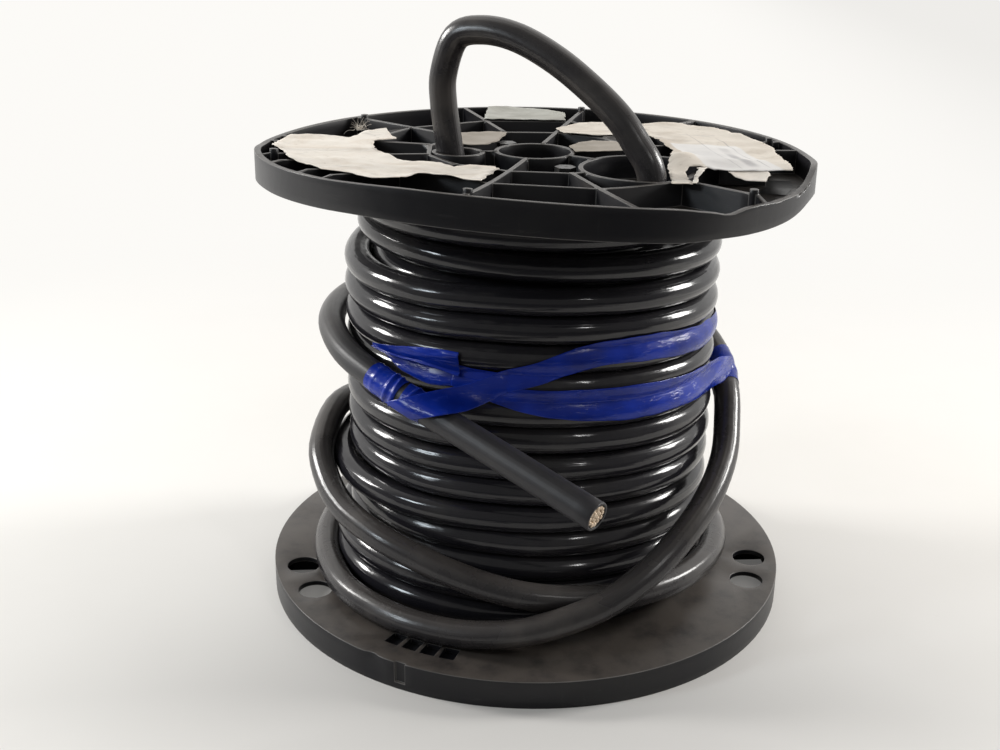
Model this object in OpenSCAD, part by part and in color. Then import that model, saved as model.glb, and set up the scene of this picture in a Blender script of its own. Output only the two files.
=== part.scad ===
// Cable reel: two moulded ribbed flanges on a hollow barrel, wound with heavy black cable.
// Millimetres, +Z up, origin at the centre of the lower rim where the reel stands on its end.

/* [Flanges] */
// outside diameter of both flanges
flange_d = 305; // [260:5:380]
// height of a flange, rim edge to flat side
flange_t = 16; // [12:0.5:22]
// flat wall that faces the cable
web_t = 3; // [2:0.5:5]
// rim wall thickness
rim_w = 3.5; // [2.5:0.5:6]
// thickness of the ribs and rings
rib_w = 2.5; // [1.5:0.5:4]
// radius of the outer stiffening ring
ring_r = 102; // [92:1:120]
// diameter of the paired holes near the rim
rim_hole_d = 19; // [12:1:22]
// height of the stacking pegs above the rim
peg_h = 4; // [2:0.5:6]

/* [Barrel] */
// outside diameter of the barrel
barrel_d = 120; // [110:2:130]
// barrel wall thickness
barrel_wall = 3; // [2:0.5:5]
// arbor bore through both flanges
arbor_d = 40; // [30:1:46]
// clear width between the flanges
traverse = 225.5; // [200:0.5:260]
// tie bolt shank diameter
bolt_d = 6; // [5:0.5:8]

/* [Cable] */
// outside diameter of the cable
cable_d = 15; // [13:0.5:16]
// turns in one layer
turns = 15; // [13:1:16]
// layers on the barrel
layers = 3; // [2:1:3]
// diameter of the stranded conductor
core_d = 12; // [8:0.5:12]
// length of bare cut end shown as jacket and strands
cut_len = 9; // [6:1:14]
// height of the top loop above the upper rim
loop_h = 67; // [55:1:80]

/* [Tape and paper] */
// thickness of the plastic tape
tape_t = 0.4; // [0.2:0.1:0.8]
// thickness of the paper labels
paper_t = 0.4; // [0.2:0.1:0.8]

/* [Hidden] */
$fn = 96;

// colours
reel_c = [0.07, 0.065, 0.06];
cable_c = [0.02, 0.02, 0.022];
tape_c = [0.06, 0.08, 0.42];
paper_c = [0.74, 0.68, 0.58];
steel_c = [0.45, 0.44, 0.42];
copper_c = [0.72, 0.42, 0.25];

// main sizes
R = flange_d / 2;
s = flange_d / 305;
height = 2 * flange_t + traverse;
z_low = flange_t;
z_top = flange_t + traverse;
barrel_r = barrel_d / 2;
cr = cable_d / 2;
spigot_h = 8;

// holes in the flange, angles as seen on the upper flange
flip_a = -126;
start_d = 64 * s;
start_r = 70.3 * s;
start_a = -35.2;
end_d = 24;
end_r = 42.5;
end_a = -170;
bolt_r = 36;
bolt_a = [-63, 117];
boss_d = 11.5;
blind_a = 27;
rib_a = [for (k = [0 : 11]) 18 + 30 * k];
short_a = [8, 175, 208, 220];
inner_a = [258, 78, 18];
peg_a = [for (k = [0 : 5]) 18 + 60 * k];
peg_r = R - rim_w - 6;
hole_r = R - 16.3;
hole_a = [38.1, 25.4, -108.8, -120.5];
slot_a = [-5.4, -10, -14.6, -19.2];
slot_r = R - 18.9;
slot_l = 10 * s;
slot_w = 8.4 * s;

// layers of the winding
layer_step = cable_d + 0.4;
turn_step = (traverse - cable_d) / (turns - 1);
wind_c = barrel_r + cr + layer_step * (layers - 1);
wind_r = wind_c + cr;

// loose turns: angle, gap to the winding, height over the lower flange's flat side
kz = traverse / 225.5;
loose = [
    [-230, 0, 71], [-216, 0.3, 75.5], [-203, 1.5, 79], [-188, 5, 80], [-170, 9, 70.5], [-158, 9, 60],
    [-147, 8, 53], [-136, 7, 49.5], [-125, 6, 46], [-108, 4.5, 38], [-91, 3.5, 30], [-75, 1.5, 25],
    [-60, 0.8, 22], [-45, 0.5, 19.5], [-30, 0.5, 18], [-15, 0.5, 16.5], [0, 0.5, 15], [15, 0.5, 14],
    [30, 0.5, 13.5], [45, 0.5, 13], [60, 0.5, 12.6], [75, 0.5, 12.3], [90, 0.8, 12], [107, 1.3, 11.7],
    [123, 1.8, 11.4], [140, 2.7, 11], [155, 4, 10.5], [170, 5.5, 9.8], [183, 7, 9], [195, 8.2, 8.3],
    [205, 9.5, 7.8], [216, 11.7, 7.5], [227, 12.5, 7.5], [240, 13, 7.5], [253, 13, 8.2], [264, 14, 11.5],
    [274, 15.5, 17], [288, 16.5, 28], [300, 16, 42], [312, 13, 56], [325, 9, 68], [339, 5.5, 80],
    [350, 3, 94], [358, 2, 105.5], [370, 1.5, 116.5], [384, 1, 125], [398, 0.8, 130.5], [412, 0.5, 134.5],
    [427, 0.5, 137.5], [442, 0.5, 140], [457, 0.5, 142], [472, 0.5, 143.7], [487, 0.5, 145], [502, 0.5, 146],
    [517, 0.5, 147], [530, 0.5, 147.5], [542, 0.6, 147.5], [554, 1, 146.5], [568, 2, 144.3], [578, 3, 142],
    [588, 4, 139], [595, 5.5, 136]];
loose_n = 77;
out_gap = 66.7;
out_a = 640.6;
out_z = 107.5;

// loop over the upper flange: x, y, height over the upper rim as a share of its own height
loop = [
    [58, -63, -0.232], [59.5, -63.7, -0.15], [60, -64, -0.03], [57.5, -62.8, 0.11], [51.8, -59.6, 0.24],
    [43, -55, 0.42], [30, -47.7, 0.6], [10.7, -37.5, 0.81], [-10, -26.3, 0.96], [-28.6, -16.3, 1],
    [-43, -9, 0.93], [-50, -6, 0.64], [-50, -6, 0.4], [-47, -7, 0.08], [-44, -7.5, -0.2], [-43, -7.5, -0.6]];
loop_n = 34;
tube_n = 10;

// smooth curve through a list of points, u runs from 0 to the last index
function knot(p, i) = p[max(0, min(len(p) - 1, i))];
function smooth4(a, b, c, d, t) =
    0.5 * (2 * b + (c - a) * t + (2 * a - 5 * b + 4 * c - d) * t * t + (3 * b - a - 3 * c + d) * t * t * t);
function along(p, u) =
    let (i = min(len(p) - 2, floor(u)), t = u - i)
    smooth4(knot(p, i - 1), knot(p, i), knot(p, i + 1), knot(p, i + 2), t);
function unit(v) = v / norm(v);
function polar(a, r, z) = [r * cos(a), r * sin(a), z];

// straight free end after the last bend
bend_p = let (q = loose[len(loose) - 1]) polar(q[0], wind_r + cr + q[1], z_low + q[2] * kz);
tip_p = polar(out_a, wind_r + cr + out_gap, z_low + out_z * kz);
out_v = unit(tip_p - bend_p);
out_l = norm(tip_p - bend_p);
cut_p = tip_p - out_v * cut_len;
wrap_l = 20;

// centre lines
loose_line = concat(
    [for (i = [0 : loose_n - 1]) let (q = along(loose, i * (len(loose) - 1) / (loose_n - 1)))
        polar(q[0], wind_r + cr + q[1], z_low + q[2] * kz)],
    [bend_p + out_v * out_l * 0.35, bend_p + out_v * out_l * 0.7, cut_p]);
loop_line = [for (i = [0 : loop_n - 1]) let (q = along(loop, i * (len(loop) - 1) / (loop_n - 1)))
    [q[0] * s, q[1] * s, height + q[2] * loop_h]];

// round tube swept along a centre line, one closed solid
function aim(p, i) = i == 0 ? unit(p[1] - p[0]) : i == len(p) - 1 ? unit(p[i] - p[i - 1])
    : unit(unit(p[i + 1] - p[i]) + unit(p[i] - p[i - 1]));
function carry(u, d) = unit(u - d * (u * d));
function sides(p, i, u) = i >= len(p) ? [] :
    let (n = carry(u, aim(p, i))) concat([n], sides(p, i + 1, n));
function ring_at(c, d, n, r) = let (m = cross(d, n))
    [for (k = [0 : tube_n - 1]) c + r * (n * cos(360 * k / tube_n) + m * sin(360 * k / tube_n))];
module tube(p, r, first) {
    n = sides(p, 0, first);
    pts = [for (i = [0 : len(p) - 1]) each ring_at(p[i], aim(p, i), n[i], r)];
    last = (len(p) - 1) * tube_n;
    skin = [for (i = [0 : len(p) - 2], k = [0 : tube_n - 1], h = [0, 1])
        let (a = i * tube_n + k, b = i * tube_n + (k + 1) % tube_n)
        h == 0 ? [a, a + tube_n, b + tube_n] : [a, b + tube_n, b]];
    caps = [[for (k = [0 : tube_n - 1]) k], [for (k = [0 : tube_n - 1]) last + tube_n - 1 - k]];
    polyhedron(points = pts, faces = concat(skin, caps), convexity = 8);
}

// tape strip lying on the crests of the turns: angle, middle height, half width
module strip(p, r, t) {
    n = len(p);
    pts = [for (q = p) each [polar(q[0], r, q[1] - q[2]), polar(q[0], r + t, q[1] - q[2]),
        polar(q[0], r + t, q[1] + q[2]), polar(q[0], r, q[1] + q[2])]];
    skin = [for (i = [0 : n - 2], k = [0 : 3], h = [0, 1])
        let (a = 4 * i + k, b = 4 * i + (k + 1) % 4)
        h == 0 ? [a, b + 4, a + 4] : [a, b, b + 4]];
    polyhedron(points = pts, faces = concat(skin, [[3, 2, 1, 0]],
        [[4 * n - 4, 4 * n - 3, 4 * n - 2, 4 * n - 1]]), convexity = 6);
}
function fine(p, n) = [for (i = [0 : n]) along(p, i * (len(p) - 1) / n)];

// flange parts, ribbed side up, flat side at z = 0
module post(a, r, d, h) {
    rotate(a) translate([r, 0, 0]) cylinder(d = d, h = h);
}
module rib(a, r0, r1) {
    rotate(a) translate([r0, -rib_w / 2, 0]) cube([r1 - r0, rib_w, flange_t]);
}
module poly_ring(r) {
    rotate(rib_a[0]) difference() {
        cylinder(r = r, h = flange_t - 0.5, $fn = 12);
        translate([0, 0, -1]) cylinder(r = r - rib_w, h = flange_t + 2, $fn = 12);
    }
}
module inside_ring(r) {
    intersection() {
        children();
        rotate(rib_a[0]) translate([0, 0, -1]) cylinder(r = r, h = flange_t + 2, $fn = 12);
    }
}
// the collar is open inside; the flat wall under it is open only outside the barrel
module start_hole() {
    inside_ring(ring_r * s - rib_w - 0.6) difference() {
        translate([0, 0, -0.5]) post(start_a, start_r, start_d, flange_t + 1);
        translate([0, 0, -1]) cylinder(r = barrel_r + 3, h = web_t + 1);
    }
}
module flange(pegs) {
    difference() {
        union() {
            cylinder(r = R, h = web_t);
            difference() {
                cylinder(r = R, h = flange_t);
                translate([0, 0, -1]) cylinder(r = R - rim_w, h = flange_t + 2);
            }
            cylinder(d = arbor_d + 2 * rib_w, h = flange_t - 0.25);
            poly_ring(barrel_r + 1.5);
            poly_ring(ring_r * s);
            for (a = rib_a)
                rib(a, barrel_r + 0.3, a == 348 ? slot_r - slot_l / 2 - 2 : R - rim_w / 2);
            for (a = short_a)
                rib(a, (ring_r * s - rib_w / 2) * cos(15), R - rim_w / 2);
            for (a = inner_a)
                rib(a, arbor_d / 2 + 1, barrel_r + 0.3);
            rib(end_a, arbor_d / 2 + 1, end_r);
            inside_ring(ring_r * s - rib_w / 2)
                post(start_a, start_r, start_d + 2 * rib_w, flange_t - 0.25);
            rib(start_a + 4, arbor_d / 2 + 1, start_r - start_d / 2 - 0.5);
            post(end_a, end_r, end_d + 2 * rib_w, flange_t - 0.25);
            for (a = bolt_a)
                post(a, bolt_r, boss_d, flange_t - 5);
            post(blind_a, bolt_r, boss_d, flange_t - 1);
            if (pegs)
                for (a = peg_a)
                    post(a, peg_r, 4.5, flange_t + peg_h);
            translate([0, 0, -spigot_h]) difference() {
                cylinder(r = barrel_r - barrel_wall, h = spigot_h + 0.5);
                translate([0, 0, -1]) cylinder(r = barrel_r - barrel_wall - 3, h = spigot_h + 3);
            }
        }
        translate([0, 0, -spigot_h - 1]) cylinder(d = arbor_d, h = flange_t + spigot_h + 2);
        start_hole();
        translate([0, 0, -1]) post(end_a, end_r, end_d, flange_t + 2);
        for (a = bolt_a)
            translate([0, 0, -1]) post(a, bolt_r, bolt_d, flange_t + 2);
        translate([0, 0, flange_t - 7]) post(blind_a, bolt_r, 6, 8);
        for (a = hole_a)
            translate([0, 0, -1]) post(a, hole_r, rim_hole_d, flange_t + 2);
        for (a = slot_a)
            rotate(a) translate([slot_r - slot_l / 2, -slot_w / 2, -1]) cube([slot_l, slot_w, web_t + 2]);
        rotate(-11.2) translate([R - 1.2, -3, -1]) cube([4, 6, flange_t - 3]);
    }
}

module top_flange() {
    color(reel_c) translate([0, 0, z_top]) flange(true);
}
module bottom_flange() {
    color(reel_c) translate([0, 0, z_low]) rotate(flip_a) rotate([180, 0, 0]) flange(false);
}
module barrel() {
    color(reel_c) translate([0, 0, z_low]) difference() {
        cylinder(r = barrel_r, h = traverse);
        translate([0, 0, -1]) cylinder(r = barrel_r - barrel_wall, h = traverse + 2);
    }
}

// tie bolts: hex heads on the upper bosses, nuts on the lower ones
bolt_top = height - 5;
bolt_low = 5;
module tie_bolt(i) {
    color(steel_c) rotate(bolt_a[i]) translate([bolt_r, 0, 0]) {
        translate([0, 0, bolt_low - 4.8]) cylinder(d = bolt_d, h = bolt_top - bolt_low + 4.8);
        translate([0, 0, bolt_top]) cylinder(d = 11.5, h = 4, $fn = 6);
    }
}
module tie_nut(i) {
    color(steel_c) rotate(bolt_a[i]) translate([bolt_r, 0, bolt_low - 4.5]) difference() {
        cylinder(d = 11.5, h = 4.5, $fn = 6);
        translate([0, 0, -1]) cylinder(d = bolt_d, h = 7);
    }
}
module tie_bolt_1() tie_bolt(0);
module tie_bolt_2() tie_bolt(1);
module tie_nut_1() tie_nut(0);
module tie_nut_2() tie_nut(1);

// wound cable: one turned solid, its turns show outside and on both ends
module cable_winding() {
    color(cable_c) rotate_extrude() union() {
        translate([barrel_r, z_low + cr]) square([wind_c - barrel_r - cr, traverse - cable_d]);
        translate([barrel_r, z_low + cr]) square([wind_c - barrel_r, turn_step * (turns - 3)]);
        for (i = [0 : turns - 1])
            translate([i < turns - 2 ? wind_c : wind_c - cr, z_low + cr + turn_step * i]) circle(r = cr);
        for (k = [0 : layers - 2], z = [z_low + cr, z_top - cr])
            translate([barrel_r + cr + layer_step * k, z]) circle(r = cr);
    }
}

module cable_loose() {
    color(cable_c) tube(loose_line, cr, [0, 0, 1]);
}
module cable_loop() {
    color(cable_c) tube(loop_line, cr, [1, 0, 0]);
}

// cut end of the free cable
module along_end(p) {
    translate(p) rotate([0, acos(out_v[2]), atan2(out_v[1], out_v[0])]) children();
}
module cut_jacket() {
    color(cable_c) along_end(cut_p) difference() {
        cylinder(r = cr, h = cut_len);
        translate([0, 0, -1]) cylinder(d = core_d, h = cut_len + 2);
    }
}
module conductor() {
    strand = core_d / 5;
    color(copper_c) along_end(cut_p) {
        cylinder(d = core_d, h = cut_len - 1);
        cylinder(d = strand - 0.1, h = cut_len);
        for (k = [0 : 5])
            rotate(60 * k) translate([strand, 0, 0]) cylinder(d = strand - 0.1, h = cut_len);
        for (k = [0 : 11])
            rotate(30 * k + 15) translate([strand * 1.95, 0, 0]) cylinder(d = strand - 0.1, h = cut_len);
    }
}

// blue tape: a sleeve round the free end and strips round the front of the winding
module tape_wrap() {
    color(tape_c) along_end(bend_p) difference() {
        cylinder(r = cr + tape_t, h = wrap_l);
        translate([0, 0, -1]) cylinder(r = cr, h = wrap_l + 2);
    }
}
module tape_flap() {
    color(tape_c) strip(fine([[-141, z_low + 149.8 * kz, 2.5], [-130, z_low + 149.8 * kz, 5.5],
        [-119, z_low + 151.5 * kz, 6], [-109.6, z_low + 153.9 * kz, 5.2]], 6), wind_r, tape_t);
}
module tape_upper() {
    color(tape_c) strip(fine([[-90, z_low + 149 * kz, 6], [-71, z_low + 158.7 * kz, 6.2],
        [-54, z_low + 159 * kz, 6.9], [-34, z_low + 154.5 * kz, 6.8], [-15, z_low + 150 * kz, 6.7],
        [20, z_low + 145 * kz, 6.7]], 20), wind_r, tape_t);
}
module tape_lower() {
    color(tape_c) strip(fine([[-104, z_low + 141.5 * kz, 4.5], [-98, z_low + 138.5 * kz, 5.5],
        [-87, z_low + 134.5 * kz, 6.5], [-62, z_low + 130.8 * kz, 9], [-43, z_low + 128.8 * kz, 9],
        [-24, z_low + 125.5 * kz, 9]], 16), wind_r, tape_t);
}

// torn paper labels on the tops of the ribs
module paper(p) {
    color(paper_c) translate([0, 0, height]) linear_extrude(paper_t) polygon([for (q = p) q * s]);
}
module label_left() {
    paper([[-142, -19], [-143, 3], [-139, 30], [-120, 31], [-106, 25], [-101, 40], [-89, 57], [-79, 21],
        [-91, 15], [-88, -9], [-76, -38], [-68, -48], [-49, -49], [-41, -61], [-33, -52], [-20, -54],
        [-18, -62], [-25, -101], [-45, -97], [-57, -90], [-64, -110], [-77, -116], [-88, -101],
        [-103, -93], [-124, -67], [-134, -32]]);
}
module label_right() {
    paper([[66, 93], [90, 99], [113, 86], [126, 61], [135, 31], [134, -2], [136, -28], [119, -49],
        [102, -43], [85, -50], [74, -40], [70, -18], [76, 25]]);
}
module label_back() {
    paper([[-32, 96], [-31, 147], [-20, 149], [-12, 143], [10, 135], [19, 124], [18, 96]]);
}
module label_mid() {
    paper([[12, 57], [27, 91], [46, 83], [52, 55], [44, 36], [22, 52]]);
}
module label_inner() {
    paper([[-51, 42], [-45, 48], [-28, 52], [-14, 54], [-16, 40], [-20, 36], [-40, 37]]);
}

top_flange();
bottom_flange();
barrel();
tie_bolt_1();
tie_bolt_2();
tie_nut_1();
tie_nut_2();
cable_winding();
cable_loose();
cable_loop();
cut_jacket();
conductor();
tape_wrap();
tape_flap();
tape_upper();
tape_lower();
label_left();
label_right();
label_back();
label_mid();
label_inner();
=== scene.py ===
"""A moulded plastic cable reel with black cable wound on it, standing on its lower flange.

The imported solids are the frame. The scene adds the cords, the turns of the winding, the warped
upper flange, the tape, the torn paper and the cut end, and gives every piece its material.
Lengths are written in millimetres and turned into metres where a mesh is made.
"""
import random
from math import atan, atan2, cos, degrees, exp, hypot, inf, pi, radians, sin, sqrt, tan

import bmesh
import bpy
from mathutils import Matrix, Vector, geometry, noise


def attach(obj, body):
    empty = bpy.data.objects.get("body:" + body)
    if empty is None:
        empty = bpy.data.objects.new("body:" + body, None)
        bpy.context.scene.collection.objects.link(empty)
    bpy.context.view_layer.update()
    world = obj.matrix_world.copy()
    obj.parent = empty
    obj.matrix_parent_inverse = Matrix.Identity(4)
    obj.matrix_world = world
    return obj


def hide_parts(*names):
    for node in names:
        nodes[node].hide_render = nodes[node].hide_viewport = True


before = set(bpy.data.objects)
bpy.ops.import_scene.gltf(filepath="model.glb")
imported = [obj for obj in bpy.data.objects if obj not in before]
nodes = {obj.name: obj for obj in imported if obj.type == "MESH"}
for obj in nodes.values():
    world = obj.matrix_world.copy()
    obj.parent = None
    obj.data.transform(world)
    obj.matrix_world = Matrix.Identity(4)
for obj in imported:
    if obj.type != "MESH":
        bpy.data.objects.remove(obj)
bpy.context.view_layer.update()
scene = bpy.context.scene
scene.view_settings.view_transform = "Standard"

MM = 0.001
UP = Vector((0, 0, 1))

# The reel: its flanges' radius, the inside of the rim, and the heights of its parts
FLANGE_R = 152.5
RIM_IN = 147.0
Z_LOW = 16.0
HEIGHT = 257.5

# The cable and the radii of its layers, at their middles and over the outer one
CABLE_R = 7.5
LAYER_R = (67.5, 82.9, 98.3)
WIND_R = 105.8

# The winding's helix: its climb, the height of its first turn, and the angle where it is at PHASE
PITCH = 15.036
FIRST_Z = 23.5
TURNS = 15
PHASE = 0.16
PHASE_A = -158.0


# Points and curves

def polar(angle, radius, z):
    """A point from its angle in degrees, radius and height."""
    a = radians(angle)
    return Vector((radius * cos(a), radius * sin(a), z))


def spoke(x, y, radius, turn):
    """The way from a centre to a circle round it, in the plane of two directions."""
    return x * (radius * cos(turn)) + y * (radius * sin(turn))


def even(low, high, steps):
    """Values from one bound to the other, in even steps."""
    return [low + (high - low) * i / steps for i in range(steps + 1)]


def turns_of(around):
    """Even turns round a circle, in radians."""
    return even(0, 2 * pi, around)[:-1]


def smooth(x, low, high):
    """0 below low, 1 above high, and an even ramp between."""
    t = min(1, max(0, (x - low) / (high - low)))
    return t * t * (3 - 2 * t)


def table(x, pairs):
    """A value read from a list of (x, value), on a smooth curve through them."""
    if x <= pairs[0][0]:
        return pairs[0][1]
    for i, ((x0, y0), (x1, y1)) in enumerate(zip(pairs, pairs[1:])):
        if x <= x1:
            xa, ya = pairs[max(i - 1, 0)]
            xb, yb = pairs[min(i + 2, len(pairs) - 1)]
            t = (x - x0) / (x1 - x0)
            rise0 = (y1 - ya) / (x1 - xa) * (x1 - x0)
            rise1 = (yb - y0) / (xb - x0) * (x1 - x0)
            return (y0 + rise0 * t + (3 * (y1 - y0) - 2 * rise0 - rise1) * t ** 2
                    + (2 * (y0 - y1) + rise0 + rise1) * t ** 3)
    return pairs[-1][1]


def through(points, steps):
    """A Catmull-Rom curve through the points, with some steps in each span."""
    ends = [points[0] * 2 - points[1]] + points + [points[-1] * 2 - points[-2]]
    out = []
    for i in range(1, len(ends) - 2):
        p0, p1, p2, p3 = ends[i - 1:i + 3]
        for k in range(steps):
            t = k / steps
            out.append(0.5 * (2 * p1 + (p2 - p0) * t + (2 * p0 - 5 * p1 + 4 * p2 - p3) * t * t
                              + (3 * p1 - p0 - 3 * p2 + p3) * t ** 3))
    return out + [points[-1]]


def bell(x, middle, width):
    """1 in the middle, falling away evenly on both sides."""
    return exp(-((x - middle) / width) ** 2)


def wobble(x, y, z):
    """A smooth noise, about -1 to 1."""
    return noise.noise(Vector((x, y, z)))


def runs_of(path):
    """The distance along a path at each of its points."""
    runs = [0]
    for a, b in zip(path, path[1:]):
        runs.append(runs[-1] + (b - a).length)
    return runs


def length_of(path):
    """The whole length of a path."""
    return runs_of(path)[-1]


def reach(path, runs, want):
    """The number of the last point before a distance along a path, and the place there."""
    i = min(max(n for n, run in enumerate(runs) if run <= want), len(path) - 2)
    return i, path[i].lerp(path[i + 1], (want - runs[i]) / (runs[i + 1] - runs[i]))


def frames_of(path, side):
    """Each point of a path with a normal and a binormal, carried along without twist."""
    out = []
    normal = side
    for i, here in enumerate(path):
        tangent = (path[min(i + 1, len(path) - 1)] - path[max(i - 1, 0)]).normalized()
        normal = (normal - tangent * normal.dot(tangent)).normalized()
        out.append((here, normal, tangent.cross(normal)))
    return out


# Meshes

def show(name, mesh, *mats):
    """Put a mesh and its materials into the scene."""
    for mat in mats:
        mesh.materials.append(mat)
    piece = bpy.data.objects.new(name, mesh)
    scene.collection.objects.link(piece)
    return piece


def build(name, verts, faces, mat, uvs=None):
    """A smooth piece that rides on the reel; verts in millimetres, uvs in face corner order."""
    mesh = bpy.data.meshes.new(name)
    mesh.from_pydata([Vector(v) * MM for v in verts], [], faces)
    if uvs:
        layer = mesh.uv_layers.new(name="UVMap")
        for corner, uv in zip(layer.data, uvs):
            corner.uv = uv
    for face in mesh.polygons:
        face.use_smooth = True
    piece = show(name, mesh, mat)
    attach(piece, "root")
    return piece


def thicken(piece, thick, offset):
    """Give a sheet a thickness: offset 0 on both sides, -1 below it."""
    shell = piece.modifiers.new("thickness", "SOLIDIFY")
    shell.thickness = thick * MM
    shell.offset = offset


def rings(rows, around, first=0):
    """The faces between rows of points that each close into a ring."""
    faces = []
    for i in range(rows - 1):
        low, high = first + i * around, first + (i + 1) * around
        for k in range(around):
            n = (k + 1) % around
            faces.append((low + k, low + n, high + n, high + k))
    return faces


def ring_uvs(runs, around):
    """The map of those faces: metres along, from the run at each row, and the share of a turn."""
    uvs = []
    for a, b in zip(runs, runs[1:]):
        for k in range(around):
            low, high = k / around, (k + 1) / around
            uvs += [(a * MM, low), (a * MM, high), (b * MM, high), (b * MM, low)]
    return uvs


def tube(name, path, radius, around, mat, side=UP):
    """A closed round tube along a path; radius is a function of the distance and the turn."""
    runs = runs_of(path)
    verts = []
    for run, (here, normal, binormal) in zip(runs, frames_of(path, side)):
        for turn in turns_of(around):
            verts.append(here + spoke(normal, binormal, radius(run, turn), turn))
    first, last = range(around), range(len(verts) - around, len(verts))
    faces = rings(len(path), around) + [first[::-1], last]
    uvs = ring_uvs(runs, around) + [(0, 0)] * (2 * around)
    piece = build(name, verts, faces, mat, uvs)
    piece.data.set_sharp_from_angle(angle=radians(60))
    return piece


def grid(name, points, mat, thick=0):
    """A sheet from rows of points, with a thickness when asked."""
    rows, cols = len(points), len(points[0])
    verts = [p for row in points for p in row]
    faces, uvs = [], []
    for i in range(rows - 1):
        for j in range(cols - 1):
            a = i * cols + j
            faces.append((a, a + 1, a + cols + 1, a + cols))
            for di, dj in ((0, 0), (0, 1), (1, 1), (1, 0)):
                uvs.append(((i + di) / (rows - 1), (j + dj) / (cols - 1)))
    piece = build(name, verts, faces, mat, uvs)
    if thick:
        thicken(piece, thick, 0)
    return piece


# Materials

# Colours in linear light; of two, the second is what patches of noise bring in
BLACK_PLASTIC = (0.0105, 0.0103, 0.0128), (0.018, 0.0173, 0.0184)
# Rubbed wear on the mouldings' rounded edges, pale enough to be a painted highlight along them as
# well
RUBBED_GREY_AND_HIGHLIGHT = (0.075, 0.072, 0.071), (0.17, 0.162, 0.154)
PLASTIC_SCUFF = (0.06, 0.058, 0.056)
PLASTIC_STREAK = (0.075, 0.07, 0.066)
PLASTIC_DUST = (0.115, 0.098, 0.084)
BLACK_JACKET = (0.013, 0.0126, 0.0162), (0.021, 0.0202, 0.022)
JACKET_DUST = (0.12, 0.106, 0.094)
JACKET_SCRATCH = (0.07, 0.068, 0.068)
FILM_BLUE = (0.003, 0.016, 0.2), (0.006, 0.032, 0.375)
FILM_CREASE = (0.05, 0.085, 0.42)
PAPER_SPOT = (0.3, 0.25, 0.2)
PAPER_RUB = (0.26, 0.25, 0.25)
FORM_WHITE = (0.74, 0.735, 0.73)
FORM_MARK = (0.16, 0.155, 0.18)
CUT_COPPER = (0.42, 0.31, 0.22), (0.86, 0.72, 0.55)
DULL_STEEL = (0.13, 0.13, 0.13), (0.07, 0.06, 0.05)
FLOOR_PALE = (0.78, 0.765, 0.735), (0.84, 0.825, 0.8)
FLOOR_SPECK = (0.62, 0.6, 0.57)
# Painted shadow: the floor's colour just in front of the reel, where the reel's shade falls
FLOOR_PAINTED_SHADOW = (0.42, 0.41, 0.4)
# Painted shade: the colour of the floor farther in front of the reel, for every ray but the
# camera's
FLOOR_FRONT_SHADE = (0.09, 0.09, 0.095)


def feed(tree, node, inputs):
    """Set a node's inputs, each from an output or to a value."""
    for key, value in inputs.items():
        if isinstance(value, Output):
            tree.links.new(value.socket, node.inputs[key])
        else:
            node.inputs[key].default_value = value


def output(tree, kind, inputs=None, which=0, **settings):
    """One output of a new shader node, which has these inputs and settings."""
    node = tree.nodes.new("ShaderNode" + kind)
    for key, value in settings.items():
        setattr(node, key, value)
    feed(tree, node, inputs or {})
    return Output(tree, node.outputs[which])


class Output:
    """An output of a shader node, with short ways to work on from it."""

    def __init__(self, tree, socket):
        self.tree = tree
        self.socket = socket

    def node(self, kind, inputs, which=0, **settings):
        return output(self.tree, kind, inputs, which, **settings)

    def maths(self, operation, *values):
        return self.node("Math", dict(enumerate(values)), operation=operation)

    def __mul__(self, other):
        return self.maths("MULTIPLY", self, other)

    def __add__(self, other):
        return self.maths("ADD", self, other)

    def __rsub__(self, other):
        return self.maths("SUBTRACT", other, self)

    def larger(self, other):
        return self.maths("MAXIMUM", self, other)

    def ramp(self, low, high):
        """Spread a narrow band to 0..1, with soft ends."""
        inputs = {"Value": self, "From Min": low, "From Max": high}
        return self.node("MapRange", inputs, interpolation_type="SMOOTHSTEP")

    def span(self, low, high):
        """Turn 0..1 into low..high."""
        return self.node("MapRange", {"Value": self, "To Min": low, "To Max": high})

    def within(self, low, high, soft):
        """1 between two bounds, with soft edges."""
        return self.ramp(low - soft, low + soft) * (1 - self.ramp(high - soft, high + soft))

    def grain(self, scale, detail=4, rough=0.5, twist=0):
        """A noise at these coordinates, 0..1 and mostly near the middle."""
        inputs = {"Vector": self, "Scale": scale, "Detail": detail, "Roughness": rough}
        return self.node("TexNoise", inputs | {"Distortion": twist}, "Fac")

    def parts(self):
        """X, Y and Z."""
        node = self.node("SeparateXYZ", {0: self}).socket.node
        return [Output(self.tree, socket) for socket in node.outputs]

    def blend(self, a, b):
        """Mix two colours by this share, on the mix node's sockets for colours."""
        a, b = [(*c, 1) if isinstance(c, tuple) else c for c in (a, b)]
        return self.node("Mix", {0: self, 6: a, 7: b}, 2, data_type="RGBA")


def material(name):
    """A new material and its node tree."""
    mat = bpy.data.materials.new(name)
    mat.use_nodes = True
    return mat, mat.node_tree


def dress(mat, colour, rough, *bumps, specular=0.5, metallic=0):
    """Feed a material's shader, and stack bumps of (height, strength, distance in mm) on it."""
    tree = mat.node_tree
    inputs = {"Base Color": colour, "Roughness": rough}
    inputs |= {"Specular IOR Level": specular, "Metallic": metallic}
    for height, strength, distance in bumps:
        below = {"Normal": inputs["Normal"]} if "Normal" in inputs else {}
        bump = {"Height": height, "Strength": strength, "Distance": distance * MM}
        inputs["Normal"] = output(tree, "Bump", bump | below)
    feed(tree, tree.nodes["Principled BSDF"], inputs)
    return mat


def place(tree, scale=(1, 1, 1)):
    """Object coordinates, stretched."""
    coords = output(tree, "TexCoord", which="Object")
    return output(tree, "Mapping", {"Vector": coords, "Scale": scale})


def up_facing(tree):
    """1 where the surface looks up, 0 where it looks sideways or down."""
    return output(tree, "NewGeometry", which="Normal").parts()[2].ramp(0.3, 0.95)


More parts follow.
